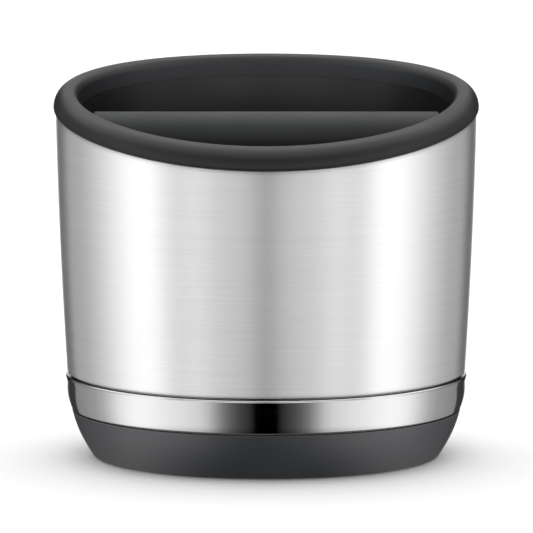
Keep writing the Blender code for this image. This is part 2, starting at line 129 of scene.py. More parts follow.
# Screws
SCREW_COUNT = 4
SCREW_RADIUS = 1.5 * MM
SCREW_HEAD_RADIUS = 3.2 * MM
SCREW_HEAD_HEIGHT = 2 * MM
SCREW_DOME = 0.7 * MM
THREAD_PITCH = 1.1 * MM
THREAD_DEPTH = 0.32 * MM
RECESS_WIDTH = 1.05 * MM
RECESS_LENGTH = 3.5 * MM
RECESS_DEPTH = 1.3 * MM
RECESS_FLOOR_SHARE = 0.5

# How finely the rounds are drawn: points round each form, and steps along each section
AROUND_BOX = 256
AROUND_BAR = 96
AROUND_SCREW = 32
SHOULDER_STEPS = 20
LIP_STEPS = 5
RING_INNER_STEPS = 10
SLEEVE_CURL_STEPS = 8
SLEEVE_OUTER_STEPS = 14
SLEEVE_INNER_STEPS = 6
BAND_CURL_STEPS = 12
HEM_STEPS = 10
SWELL_STEPS = 8
BEAD_STEPS = 20
BOOT_CORNER_STEPS = 8
BOOT_TOP_STEPS = 5
BOOT_WALL_STEPS = 16
BOOT_OPENING_STEPS = 6
BOOT_INNER_STEPS = 4
BAR_END_STEPS = 8
SCREW_DOME_STEPS = 6
THREAD_STEPS = 8

# Welded copies: the distance within which points join, and the angles between faces, in
# degrees, up to which they become one, and above which their edge is sharp or is eased
WELD = 0.002 * MM
FLAT_ANGLE = 0.5
SHARP_ANGLE = 30
EASED_ANGLE = 50
EASED_WIDTH = 0.25 * MM
EASED_SEGMENTS = 2

# Most of a noise lies between these two values
NOISE_LOW = 0.3
NOISE_HIGH = 0.7

# Rubber and plastic: linear colour, roughness, cells of grain to the metre, depth of the
# grain, and index of refraction
RING_RUBBER = ((0.0106, 0.0111, 0.0119), 0.42, 2200, 0.04 * MM, 1.34)
BOOT_RUBBER = ((0.0120, 0.0146, 0.0190), 0.42, 2200, 0.04 * MM, 2.1)
TUB_PLASTIC = ((0.004, 0.0042, 0.0047), 0.36, 2200, 0.04 * MM, 1.46)
BAR_RUBBER = ((0.0225, 0.0238, 0.0250), 0.62, 2200, 0.04 * MM, 1.40)
CAP_PLASTIC = ((0.022, 0.0225, 0.024), 0.40, 3200, 0.03 * MM, 1.5)

# Their slow drift: how much coarser than the grain it is, its darker and paler tone against
# the colour, and what it does to the roughness and to the relief
DRIFT_LENGTH = 60
DRIFT_DARK = 0.88
DRIFT_PALE = 1.12
DRIFT_ROUGHNESS = 0.04
DRIFT_BUMP = 0.1
DRIFT_DEPTH = 2
GRAIN_BUMP = 0.35

# Painted light, and the tub's paler lower part: how much paler, counted in steps from the drift's
# darker tone to its paler one
PALER_TONE_STEPS = 6

# Painted light down the ring's inner side: hardly at its sides, and fully towards the back
PAINTED_RING_LIGHT_INSET = 7.6 * MM
PAINTED_RING_LIGHT_EDGE = 0.6 * MM
PAINTED_RING_LIGHT_SIDE = 0.10
PAINTED_RING_LIGHT_SIDE_END = 12 * MM
PAINTED_RING_LIGHT_BACK = 1.45
PAINTED_RING_LIGHT_BACK_START = 40 * MM

# Painted light up the tub's wall to its mouth; and a paler lower part, down the wall
PAINTED_MOUTH_LIGHT_LOW = 102 * MM
PAINTED_MOUTH_LIGHT_HIGH = 140 * MM
PALER_PART_START = 98 * MM
PALER_PART_FULL = 70 * MM
PALER_PART_LEVEL = 3

# Brushed steel: cells of scratches and of broad streaks to the metre, across and up, and the
# quarter turn that blurs reflections up and down
BRUSHED_TONE = 0.9
BRUSHED_METALLIC = 0.85
BRUSHED_TURN = 0.25
SCRATCHES = (22, 22, 3600)
SCRATCH_TONES = (0.868, 0.932)
SCRATCH_BUMP = 0.05
SCRATCH_DEPTH = 0.006 * MM
STREAKS = (9, 9, 900)
STREAK_ROUGHNESS = (0.375, 0.385)

# Painted shadow on the sleeve under the ring: its width and its tone against the steel's
PAINTED_SHADOW_WIDTH = 1.6 * MM
PAINTED_SHADOW_TONE = 0.62

# Polished steel: cells of marks and of a slow wave to the metre, and the tones of the band's
# wall, of the painted shade on the top of its bead and of the painted shade in the groove behind
# that
POLISH_MARKS = (60, 60, 3800)
POLISH_ROUGHNESS = (0.03, 0.09)
POLISH_BUMP = 0.04
POLISH_DEPTH = 0.004 * MM
WAVE = 30
WAVE_BUMP = 0.2
WAVE_DEPTH = 0.01 * MM
POLISHED_TONE = 0.94
BEAD_PAINTED_SHADE_TONE = 0.50
GROOVE_PAINTED_SHADE_TONE = 0.45

# Plated and plain steel: linear colour, roughness, and how the marks are squeezed on each axis
ZINC = ((0.72, 0.73, 0.74), 0.30, (1, 1, 4))
TUBE_STEEL = ((0.76, 0.76, 0.77), 0.25, (0.05, 4, 4))

# Their marks and dull patches, in cells to the metre
PLATED_MARKS = 900
PLATED_PATCHES = 220
PLATED_DULL = 0.85
PLATED_SMOOTHER = 0.08
PLATED_ROUGHER = 0.10
PLATED_BUMP = 0.12
PLATED_DEPTH = 0.01 * MM

# Floor, in metres
FLOOR_SIZE = 6
FLOOR_TONE = 0.82

# Camera, fitted to the photograph's silhouette and seams
CAMERA_ELEVATION = 8.57
CAMERA_DISTANCE = 1651 * MM
AIM_HEIGHT = 63.8 * MM
AIM_ASIDE = 0.1 * MM
SENSOR = 36.0
FOCAL = 332.3
CLIP_NEAR = 50 * MM
CLIP_FAR = 50

# Studio: brightness of the surroundings by angle from the camera's side, in degrees, first
# below the horizon, by twice the turn of the upright mirror that shows it to the camera
LOW_LIGHT = (
    (0, 0.0),
    (5, 0.0),
    (8, 0.028),
    (13, 0.06),
    (17, 0.11),
    (21, 0.20),
    (25, 0.36),
    (29, 0.55),
    (33, 0.66),
    (42, 0.77),
    (51, 0.85),
    (61, 0.95),
    (66, 0.98),
    (72, 0.97),
    (78, 0.90),
    (84, 0.78),
    (91, 0.59),
    (99, 0.42),
    (108, 0.32),
    (124, 0.26),
    (136, 0.23),
    (139, 0.045),
    (151, 0.035),
    (157, 0.05),
    (162, 0.13),
    (167, 0.40),
    (172, 1.00),
)

# Then above the horizon, by compass angle
HIGH_LIGHT = (
    (0, 0.89),
    (4, 1.38),
    (8, 2.02),
    (16, 2.13),
    (26, 1.78),
    (35, 1.77),
    (42, 1.04),
    (49, 1.16),
    (57, 2.25),
    (70, 1.97),
    (81, 1.25),
    (95, 0.80),
    (105, 0.65),
    (116, 0.41),
    (130, 0.43),
    (140, 0.25),
    (148, 0.02),
    (168, 0.00),
    (180, 0.30),
)

# Heights in the studio are sines of the angle above the horizon. The upper light starts and
# is full at the first two, and fades and ends at the others, which are higher to the sides
HIGH_START = -0.13
HIGH_FULL = -0.03
HIGH_FADE = 0.08
HIGH_END = 0.42
HIGH_SIDES = 0.35

# Towards the table the surroundings darken to its shaded surface
LOW_START = -1.00
LOW_FULL = -0.58
TABLE_START = -0.82
TABLE_FULL = -0.93
TABLE_LEVEL = 0.08

# Soft light overhead: its lean to the back and its half width inside and outside its soft
# edge, in degrees, how much wider it is to the sides and how much stronger to the back
TOP_LIGHT = 2.12
TOP_LEAN = 20
TOP_INNER = 36
TOP_OUTER = 70
TOP_WIDER = 0.10
TOP_BIAS = 0.45

# Heights at which it starts and is full, and how much higher that is at the back
TOP_FOOT = 0.12
TOP_FOOT_FULL = 0.60
TOP_FOOT_BACK = 0.34

# White background behind the box, as its surfaces mirror it: compass angles and heights
BACKGROUND_START = 164
BACKGROUND_FULL = 172
BACKGROUND_FADE = 0.34
BACKGROUND_END = 0.54


def rim_height(x, y):
    """Height of the ring's crown: it rises from front to back and arches over the sides."""
    along = 2 * y / DEPTH
    across = 2 * x / WIDTH
    return RIM_MIDDLE + RIM_RISE / 2 * along + RIM_ARCH * across**2


def sleeve_inset(height):
    """How far the sleeve's face lies inside the widest oval: a taper plus a slight bulge."""
    top = RIM_MIDDLE - SLEEVE_DROP
    share = (height - SLEEVE_FOOT_HEIGHT) / (top - SLEEVE_FOOT_HEIGHT)
    return SLEEVE_FOOT_INSET - SLEEVE_TAPER * share - 4 * SLEEVE_BULGE * share * (1 - share)


def on_oval(angle, inset, height):
    """A point on the plan oval at this inset."""
    x = (WIDTH / 2 - inset) * math.cos(angle)
    y = (DEPTH / 2 - inset) * math.sin(angle)
    return Vector((x, y, height))


def flat_ring(inset, height):
    """A level ring of the plan oval."""
    return lambda angle: on_oval(angle, inset, height)


def rim_ring_line(inset, drop):
    """A ring that keeps the same drop below the crown all round the mouth."""

    def point(angle):
        place = on_oval(angle, inset, 0)
        place.z = rim_height(place.x, place.y) - drop
        return place

    return point


def sleeve_ring(extra, low, share):
    """A ring of the sleeve's wall, this share of the way from its low edge to the mouth."""

    def point(angle):
        rim = rim_ring_line(RING_PROUD + extra, SLEEVE_DROP)(angle)
        height = low + share * (rim.z - low)
        return on_oval(angle, sleeve_inset(height) + extra, height)

    return point


def arc(centre, radius, start, end, steps):
    """Points of an arc in a section, as (across, up) pairs; angles in degrees."""
    points = []
    for step in range(steps + 1):
        turn = math.radians(start + (end - start) * step / steps)
        points.append((centre[0] + radius * math.cos(turn), centre[1] + radius * math.sin(turn)))
    return points


def shoulder(width, height, steps):
    """A quarter ellipse in a section, from its level end down to its upright one."""
    points = []
    for step in range(steps + 1):
        turn = math.radians(90 * step / steps)
        points.append((width * (1 - math.sin(turn)), height * (1 - math.cos(turn))))
    return points


def blended(start, end, steps):
    """Points of an even S-curve between two points of a section, both ends left out."""
    points = []
    for step in range(1, steps):
        share = step / steps
        swell = (1 - math.cos(math.pi * share)) / 2
        across = start[0] + (end[0] - start[0]) * swell
        points.append((across, start[1] + (end[1] - start[1]) * share))
    return points


def shown(name, bm):
    """Turns a bmesh into a smooth-shaded piece of the scene."""
    bmesh.ops.recalc_face_normals(bm, faces=bm.faces)
    mesh = bpy.data.meshes.new(name)
    bm.to_mesh(mesh)
    bm.free()
    mesh.shade_smooth()
    mesh.set_sharp_from_angle(angle=math.radians(SHARP_ANGLE))
    made = bpy.data.objects.new(name, mesh)
    bpy.context.scene.collection.objects.link(made)
    return made


def skinned(rows, closed):
    """Joins rows of points into a surface: a closed hoop, or a form capped at both ends."""
    bm = bmesh.new()
    made = [[bm.verts.new(point) for point in row] for row in rows]
    pairs = list(zip(made, made[1:]))
    if closed:
        pairs.append((made[-1], made[0]))
    else:
        bm.faces.new(made[0])
        bm.faces.new(made[-1])
    count = len(made[0])
    for low, high in pairs:
        for step in range(count):
            after = (step + 1) % count
            bm.faces.new((low[step], low[after], high[after], high[step]))
    return bm


def hoop(name, rings):
    """A closed hoop round the box, through the rings of its section."""
    angles = [2 * math.pi * step / AROUND_BOX for step in range(AROUND_BOX)]
    rows = [[ring(angle) for angle in angles] for ring in rings]
    return shown(name, skinned(rows, closed=True))


def finer(name, node, bevel=EASED_WIDTH):
    """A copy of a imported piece: points joined again, smooth faces, and edges eased by bevel."""
    bm = bmesh.new()
    bm.from_mesh(nodes[node].data)
    bmesh.ops.remove_doubles(bm, verts=bm.verts, dist=WELD)
    flat = math.radians(FLAT_ANGLE)
    bmesh.ops.dissolve_limit(bm, angle_limit=flat, verts=bm.verts, edges=bm.edges)
    made = shown(name, bm)
    if bevel:
        easing = made.modifiers.new("eased_edges", "BEVEL")
        easing.width = bevel
        easing.segments = EASED_SEGMENTS
        easing.limit_method = "ANGLE"
        easing.angle_limit = math.radians(EASED_ANGLE)
        easing.harden_normals = True
    return made


def place(piece, body, node, finish, slot):
    """Puts a piece on its body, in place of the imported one, with its finish."""
    piece.data.materials.clear()
    piece.data.materials.append(finish)
    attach(piece, body)
    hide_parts(node)


def make_ring():
    """The soft ring, with a seal that closes the seam on the tub's inner wall."""
    outer = shoulder(RING_SHOULDER_WIDTH, RING_SHOULDER_HEIGHT, SHOULDER_STEPS)
    lip = []
    for step in range(1, LIP_STEPS + 1):
        share = step / LIP_STEPS
        drop = RING_SHOULDER_HEIGHT + (RING_HEIGHT - RING_SHOULDER_HEIGHT) * share
        lip.append((RING_LIP * share**2, drop))
    tongue = [
        (TONGUE_INSET, RING_HEIGHT),
        (TONGUE_INSET, RING_HEIGHT + TONGUE_DEPTH),
        (TONGUE_INSET + TONGUE_WIDTH, RING_HEIGHT + TONGUE_DEPTH),
        (TONGUE_INSET + TONGUE_WIDTH, RING_HEIGHT),
    ]
    seal_drop = RING_HEIGHT + RING_SEAL
    seal = [(RING_WIDTH - RING_LIP, seal_drop), (RING_WIDTH, seal_drop)]
    centre = (RING_WIDTH - RING_INNER_CORNER, RING_INNER_CORNER)
    inner = arc(centre, RING_INNER_CORNER, 0, -90, RING_INNER_STEPS)
    section = outer + lip + tongue + seal + inner
    return hoop("soft_rim_ring", [rim_ring_line(inset, drop) for inset, drop in section])


def make_sleeve():
    """The steel sleeve, whose outer face curls in at the foot."""
    bottom = SLEEVE_FOOT_HEIGHT + SLEEVE_FOOT_GAP
    low = bottom + SLEEVE_CURL_HEIGHT
    foot = []
    for step in range(SLEEVE_CURL_STEPS):
        turn = math.radians(90 * step / SLEEVE_CURL_STEPS)
        inset = sleeve_inset(low) + SLEEVE_CURL * (1 - math.sin(turn))
        foot.append(flat_ring(inset, low - SLEEVE_CURL_HEIGHT * math.cos(turn)))
    outside = []
    for step in range(SLEEVE_OUTER_STEPS + 1):
        outside.append(sleeve_ring(0, low, step / SLEEVE_OUTER_STEPS))
    inside = []
    for step in range(SLEEVE_INNER_STEPS + 1):
        inside.append(sleeve_ring(SLEEVE_WALL, bottom, 1 - step / SLEEVE_INNER_STEPS))
    return hoop("steel_sleeve", foot + outside + inside)


def band_curl():
    """The band's lower edge in section: it curls in towards its bottom."""
    curl = []
    for step in range(BAND_CURL_STEPS + 1):
        share = 1 - step / BAND_CURL_STEPS
        height = BAND_BOTTOM + BAND_CURL_HEIGHT * (1 - share)
        curl.append((BAND_INSET + BAND_CURL * share**2, height))
    return curl


def band_bead():
    """The rolled bead in section: it swells out of the wall and rolls over into the groove."""
    crown = BAND_INSET - BEAD_PROUD
    swell_low = (BAND_INSET, BAND_TOP - BEAD_ROUND - BEAD_FADE)
    swell_high = (crown, BAND_TOP - BEAD_ROUND)
    bead = [swell_low] + blended(swell_low, swell_high, SWELL_STEPS)
    for step in range(BEAD_STEPS + 1):
        turn = math.radians(BEAD_TURN * step / BEAD_STEPS)
        across = crown + BEAD_WIDTH / 2 * (1 - math.cos(turn))
        bead.append((across, BAND_TOP - BEAD_ROUND * (1 - math.sin(turn))))
    return bead


def make_band():
    """The polished band: hemmed and curled lower edge, rolled bead, dark groove and spigot."""
    curl = band_curl()
    centre = (curl[0][0] + BAND_HEM, BAND_BOTTOM + BAND_HEM)
    hem = arc(centre, BAND_HEM, 270, HEM_END, HEM_STEPS)
    while curl[0][1] < hem[-1][1]:
        curl.pop(0)
    spigot = [
        (SPIGOT_INSET, GROOVE_FLOOR),
        (SPIGOT_INSET, SPIGOT_TOP),
        (SPIGOT_INSET + BAND_WALL, SPIGOT_TOP),
        (SPIGOT_INSET + BAND_WALL, BAND_TOP - BAND_WALL),
        (BAND_INSET + BAND_WALL, BAND_TOP - BAND_WALL),
    ]
    inside = [(inset + BAND_WALL, height) for inset, height in reversed(curl)]
    inside.append((inside[-1][0], BAND_BOTTOM))
    section = hem + curl + band_bead() + spigot + inside
    return hoop("polished_band", [flat_ring(inset, height) for inset, height in section])


def boot_inset(height):
    """The boot's outer face: it leans in and curls further in towards the table."""
    share = (BOOT_TOP - height) / BOOT_TOP
    return BOOT_INSET + BOOT_LEAN * share + BOOT_CURL * share**2


def boot_corner():
    """The boot's lower corner, which rounds off the leaning wall without a crease."""
    lean = math.atan((BOOT_LEAN + 2 * BOOT_CURL) / BOOT_TOP)
    start = BOOT_CORNER * (1 - math.sin(lean))
    centre = (boot_inset(start) + BOOT_CORNER * math.cos(lean), BOOT_CORNER)
    return arc(centre, BOOT_CORNER, HALF_TURN + math.degrees(lean), 270, BOOT_CORNER_STEPS)


def make_boot():
    """The rubber boot: rounded top edge, leaning wall, and a sole with an oval opening."""
    corner = boot_corner()
    centre = (BOOT_INSET + BOOT_TOP_ROUND, BOOT_TOP - BOOT_TOP_ROUND)
    top = arc(centre, BOOT_TOP_ROUND, 90, BOOT_TOP_END, BOOT_TOP_STEPS)
    start = top[-1][1]
    wall = []
    for step in range(1, BOOT_WALL_STEPS + 1):
        height = start + (corner[0][1] - start) * step / BOOT_WALL_STEPS
        wall.append((boot_inset(height), height))
    centre = (BOOT_OPENING_INSET - BOOT_OPENING_ROUND, BOOT_OPENING_ROUND)
    opening = arc(centre, BOOT_OPENING_ROUND, 270, 360, BOOT_OPENING_STEPS)
    inside = [(BOOT_OPENING_INSET, BOOT_FLOOR)]
    for step in range(BOOT_INNER_STEPS + 1):
        height = BOOT_FLOOR + (BOOT_TOP - BOOT_FLOOR) * step / BOOT_INNER_STEPS
        inside.append((boot_inset(height) + BOOT_WALL, height))
    section = top + wall + corner[1:] + opening + inside
    return hoop("rubber_boot", [flat_ring(inset, height) for inset, height in section])


def make_bar_sleeve():
    """The bar's rubber tube, with rounded ends, about the bar's axis."""
    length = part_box("bar_rubber")[1].x
    centre = (length - BAR_END_ROUND, BAR_RADIUS - BAR_END_ROUND)
    right = arc(centre, BAR_END_ROUND, 90, 0, BAR_END_STEPS)
    profile = right + [(length, BAR_BORE), (-length, BAR_BORE)]
    profile += [(-along, radius) for along, radius in reversed(right)]
    rows = []
    for along, radius in profile:
        row = []
        for step in range(AROUND_BAR):
            turn = 2 * math.pi * step / AROUND_BAR
            height = BAR_HEIGHT + radius * math.cos(turn)
            row.append((along, radius * math.sin(turn), height))
        rows.append(row)
    return shown("rubber_bar_tube", skinned(rows, closed=True))


def screw_form(low, high):
    """A screw as rows of radius and height: a domed head at the low end, and the thread."""
    neck = low + SCREW_HEAD_HEIGHT
    tip = high - SCREW_RADIUS
    rows = []
    for step in range(1, SCREW_DOME_STEPS + 1):
        turn = math.radians(90 * step / SCREW_DOME_STEPS)
        radius = SCREW_HEAD_RADIUS * math.sin(turn)
        rows.append([(radius, low + SCREW_DOME * (1 - math.cos(turn)))] * AROUND_SCREW)
    rows.append([(SCREW_HEAD_RADIUS, neck)] * AROUND_SCREW)
    rows.append([(SCREW_RADIUS - THREAD_DEPTH, neck)] * AROUND_SCREW)
    count = THREAD_STEPS * int((high - neck) / THREAD_PITCH)
    for step in range(1, count):
        height = neck + (high - neck) * step / count
        taper = min(1, (high - height) / (high - tip))
        row = []
        for spot in range(AROUND_SCREW):
            turn = (height / THREAD_PITCH + spot / AROUND_SCREW) % 1
            crest = max(0, 1 - abs(4 * turn - 2))
            row.append(((SCREW_RADIUS - THREAD_DEPTH * (1 - crest)) * taper, height))
        rows.append(row)
    return rows


def recess_cutter(centre, low):
    """A tapered cross for the driver, cut up into the head."""
    half = RECESS_WIDTH / 2
    reach = RECESS_LENGTH / 2
    quarter = [(reach, -half), (reach, half), (half, half)]
    outline = []
    for turn in range(4):
        for x, y in quarter:
            for _ in range(turn):
                x, y = -y, x
            outline.append((x, y))
    below = (1, low - RECESS_DEPTH)
    mouth = (1, low)
    end = (RECESS_FLOOR_SHARE, low + RECESS_DEPTH)
    rows = []
    for share, height in (below, mouth, end):
        rows.append([(centre.x + share * x, centre.y + share * y, height) for x, y in outline])
    return shown("recess_cutter", skinned(rows, closed=False))


def cut(target, tool):
    """Cuts the tool out of the target for good and takes the tool away."""
    modifier = target.modifiers.new("cut", "BOOLEAN")
    modifier.object = tool
    modifier.solver = "EXACT"
    graph = bpy.context.evaluated_depsgraph_get()
    mesh = bpy.data.meshes.new_from_object(target.evaluated_get(graph))
    target.modifiers.clear()
    target.data = mesh
    bpy.data.objects.remove(tool, do_unlink=True)


def make_screw(number):
    """A pan head screw with a cross recess and a cut thread."""
    low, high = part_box(f"base_screw_{number}")
    centre = (low + high) / 2
    rows = []
    for row in screw_form(low.z, high.z):
        points = []
        for spot, (radius, height) in enumerate(row):
            turn = 2 * math.pi * spot / len(row)
            x = centre.x + radius * math.cos(turn)
            y = centre.y + radius * math.sin(turn)
            points.append((x, y, height))
        rows.append(points)
    screw = shown(f"cross_screw_{number}", skinned(rows, closed=False))
    cut(screw, recess_cutter(centre, low.z))
    screw.data.set_sharp_from_angle(angle=math.radians(SHARP_ANGLE))
    return screw


class Graph:
    """Nodes under construction, with short calls for sums and steps."""

    def maths(self, operation, *values):
        """One sum, of numbers and of other nodes' results."""
        node = self.nodes.new("ShaderNodeMath")
        node.operation = operation
        for socket, value in zip(node.inputs, values):
            if isinstance(value, (int, float)):
                socket.default_value = value
            else:
                self.links.new(value, socket)
        return node.outputs["Value"]

    def spread(self, value, low, high, start=0, end=1):
        """A value stretched from between start and end to between low and high."""
        node = self.nodes.new("ShaderNodeMapRange")
        node.inputs["From Min"].default_value = start
        node.inputs["From Max"].default_value = end
        node.inputs["To Min"].default_value = low
        node.inputs["To Max"].default_value = high
        self.links.new(value, node.inputs["Value"])
        return node.outputs["Result"]

    def step(self, value, start, full, level=1):
        """A smooth step from 0, where the value is at start, to this level."""
        result = self.spread(value, 0, level, start, full)
        result.node.interpolation_type = "SMOOTHSTEP"
        return result


class Finish(Graph):
    """A Principled material under construction."""

    def __init__(self, name, colour, metallic=0):
        self.material = bpy.data.materials.new(name)
        self.material.use_nodes = True
        self.nodes = self.material.node_tree.nodes
        self.links = self.material.node_tree.links
        self.shader = self.nodes["Principled BSDF"]
        self.shader.inputs["Base Color"].default_value = (*colour, 1)
        self.shader.inputs["Metallic"].default_value = metallic
        self.place = self.nodes.new("ShaderNodeTexCoord").outputs["Object"]
        self.normal = None

    def noise(self, scale, detail=2, stretch=(1, 1, 1)):
        """A noise of this many cells to the metre, times the stretch on each axis."""
        mapping = self.nodes.new("ShaderNodeMapping")
        mapping.inputs["Scale"].default_value = stretch
        self.links.new(self.place, mapping.inputs["Vector"])
        texture = self.nodes.new("ShaderNodeTexNoise")
        texture.inputs["Scale"].default_value = scale
        texture.inputs["Detail"].default_value = detail
        self.links.new(mapping.outputs["Vector"], texture.inputs["Vector"])
        return texture.outputs["Fac"]

    def between(self, noise, low, high):
        """A noise stretched so that most of it lies between low and high."""
        return self.spread(noise, low, high, NOISE_LOW, NOISE_HIGH)

    def bump(self, height, strength, distance):
        """Relief on top of any relief that is already there."""
        node = self.nodes.new("ShaderNodeBump")
        node.inputs["Strength"].default_value = strength
        node.inputs["Distance"].default_value = distance
        self.links.new(height, node.inputs["Height"])
        if self.normal:
            self.links.new(self.normal, node.inputs["Normal"])
        self.normal = node.outputs["Normal"]
        self.links.new(self.normal, self.shader.inputs["Normal"])

    def shade(self, value, dark, light):
        """Base colour that goes from dark at 0 to light at 1, and on beyond them."""
        node = self.nodes.new("ShaderNodeMix")
        node.data_type = "RGBA"
        node.clamp_factor = False
        node.inputs["A"].default_value = (*dark, 1)
        node.inputs["B"].default_value = (*light, 1)
        self.links.new(value, node.inputs["Factor"])
        self.links.new(node.outputs["Result"], self.shader.inputs["Base Color"])

    def feed(self, value, socket):
        """Leads a value to a socket of the shader."""
        self.links.new(value, self.shader.inputs[socket])

    def outside(self, inset, edge):
        """1 outside the plan oval at this inset, and 0 once this far inside it."""
        across = self.nodes.new("ShaderNodeVectorMath")
        across.operation = "MULTIPLY"
        across.inputs[1].default_value = (1 / (WIDTH / 2 - inset), 1 / (DEPTH / 2 - inset), 0)
        self.links.new(self.place, across.inputs[0])
        length = self.nodes.new("ShaderNodeVectorMath")
        length.operation = "LENGTH"
        self.links.new(across.outputs["Vector"], length.inputs[0])
        return self.spread(length.outputs["Value"], 0, 1, 1 - edge / (WIDTH / 2), 1)

    def along(self, axis):
        """How far a place lies along this axis of the frame, in metres."""
        split = self.nodes.new("ShaderNodeSeparateXYZ")
        self.links.new(self.place, split.inputs["Vector"])
        return split.outputs[axis]


def scaled(colour, factor):
    """A colour made darker or paler."""
    return tuple(channel * factor for channel in colour)


def grey(tone):
    """A neutral colour of this tone."""
    return (tone, tone, tone)


def moulded(name, colour, roughness, grain, depth, index, paler_by_place=None):
    """Matt moulded rubber or plastic: fine even grain, with a slow drift in tone and sheen.

    Some places are paler, by painted light on the ring and the tub's mouth; the optional function
    says how much, place by place.
    """
    made = Finish(name, colour)
    made.shader.inputs["IOR"].default_value = index
    fine = made.noise(grain, detail=3)
    slow = made.noise(grain / DRIFT_LENGTH)
    tone = slow
    if paler_by_place:
        # Painted light: paler where the optional function says
        tone = made.maths("MULTIPLY_ADD", paler_by_place(made), PALER_TONE_STEPS, slow)
    made.shade(tone, scaled(colour, DRIFT_DARK), scaled(colour, DRIFT_PALE))
    sheen = made.between(slow, roughness - DRIFT_ROUGHNESS, roughness + DRIFT_ROUGHNESS)
    made.feed(sheen, "Roughness")
    made.bump(slow, DRIFT_BUMP, depth * DRIFT_DEPTH)
    made.bump(fine, GRAIN_BUMP, depth)
    return made.material


def painted_light_ring(made):
    """Painted light: paler down the inner side of the mouth's ring, and most at its back."""
    inner = made.spread(made.outside(PAINTED_RING_LIGHT_INSET, PAINTED_RING_LIGHT_EDGE), 1, 0)
    back = made.along("Y")
    most = made.spread(back, PAINTED_RING_LIGHT_SIDE, PAINTED_RING_LIGHT_BACK, PAINTED_RING_LIGHT_SIDE_END, PAINTED_RING_LIGHT_BACK_START)
    return made.maths("MULTIPLY", inner, most)


def tub_painted_light_and_paler_part(made):
    """Painted light at the tub's mouth, paler towards the top; and a paler tone in its lower
    part.
    """
    height = made.along("Z")
    mouth = made.step(height, PAINTED_MOUTH_LIGHT_LOW, PAINTED_MOUTH_LIGHT_HIGH)
    return made.maths("ADD", mouth, made.step(height, PALER_PART_START, PALER_PART_FULL, PALER_PART_LEVEL))


def rim_distance(made):
    """How far a place lies below the sloping, arched lower edge of the mouth's ring."""
    edge = RIM_MIDDLE - RING_HEIGHT
    slope = made.maths("MULTIPLY_ADD", made.along("Y"), RIM_RISE / DEPTH, edge)
    square = made.maths("POWER", made.along("X"), 2)
    arch = made.maths("MULTIPLY", square, RIM_ARCH * (2 / WIDTH) ** 2)
    return made.maths("SUBTRACT", made.maths("ADD", slope, arch), made.along("Z"))


def brushed_steel():
    """Steel brushed round the body: long level scratches, blurred up and down, and a painted
    shadow darkening it just under the ring.
    """
    made = Finish("brushed_steel_finish", grey(BRUSHED_TONE), BRUSHED_METALLIC)
    made.shader.inputs["Anisotropic"].default_value = 1
    made.shader.inputs["Anisotropic Rotation"].default_value = BRUSHED_TURN
    scratches = made.noise(1, detail=2, stretch=SCRATCHES)
    streaks = made.noise(1, detail=3, stretch=STREAKS)
    tone = made.between(scratches, *SCRATCH_TONES)
    # Painted shadow: the steel is darker just under the ring's lower edge
    seam = made.spread(rim_distance(made), PAINTED_SHADOW_TONE, 1, 0, PAINTED_SHADOW_WIDTH)
    made.feed(made.maths("MULTIPLY", tone, seam), "Base Color")
    made.feed(made.between(streaks, *STREAK_ROUGHNESS), "Roughness")
    made.bump(scratches, SCRATCH_BUMP, SCRATCH_DEPTH)
    tangent = made.nodes.new("ShaderNodeTangent")
    tangent.direction_type = "RADIAL"
    tangent.axis = "Z"
    made.feed(tangent.outputs["Tangent"], "Tangent")
    return made.material


def polished_steel():
    """Mirror steel with the faintest polishing marks and a slow wave in the surface.

    The top of the band's bead is darker, a painted shade that dims its reflection, and the groove
    behind it is darkened with painted shade.
    """
    made = Finish("polished_steel_finish", grey(POLISHED_TONE), 1)
    marks = made.noise(1, detail=4, stretch=POLISH_MARKS)
    wave = made.noise(WAVE, detail=1)
    made.feed(made.between(marks, *POLISH_ROUGHNESS), "Roughness")
    made.bump(wave, WAVE_BUMP, WAVE_DEPTH)
    made.bump(marks, POLISH_BUMP, POLISH_DEPTH)
    widest = BAND_TOP - BEAD_ROUND
    # Painted shade: the top of the bead is dimmed, and the groove behind it darkened
    bead = made.spread(made.along("Z"), POLISHED_TONE, BEAD_PAINTED_SHADE_TONE, widest - GROOVE_EDGE, widest)
    plain = BAND_TOP - BEAD_FADE
    wall = made.spread(made.along("Z"), 0, 1, plain, plain - GROOVE_EDGE)
    clear = made.maths("MAXIMUM", made.outside(GROOVE_SHADE_INSET, GROOVE_EDGE), wall)
    made.feed(made.maths("MULTIPLY", bead, made.spread(clear, GROOVE_PAINTED_SHADE_TONE, 1)), "Base Color")
    return made.material


def plated_steel(name, colour, roughness, stretch):
    """Plain or plated steel: drawn or turned marks and a patchy dulling."""
    made = Finish(name, colour, 1)
    marks = made.noise(PLATED_MARKS, detail=4, stretch=stretch)
    patches = made.noise(PLATED_PATCHES, detail=2)
    made.shade(patches, scaled(colour, PLATED_DULL), colour)
    sheen = made.between(marks, roughness - PLATED_SMOOTHER, roughness + PLATED_ROUGHER)
    made.feed(sheen, "Roughness")
    made.bump(marks, PLATED_BUMP, PLATED_DEPTH)
    return made.material


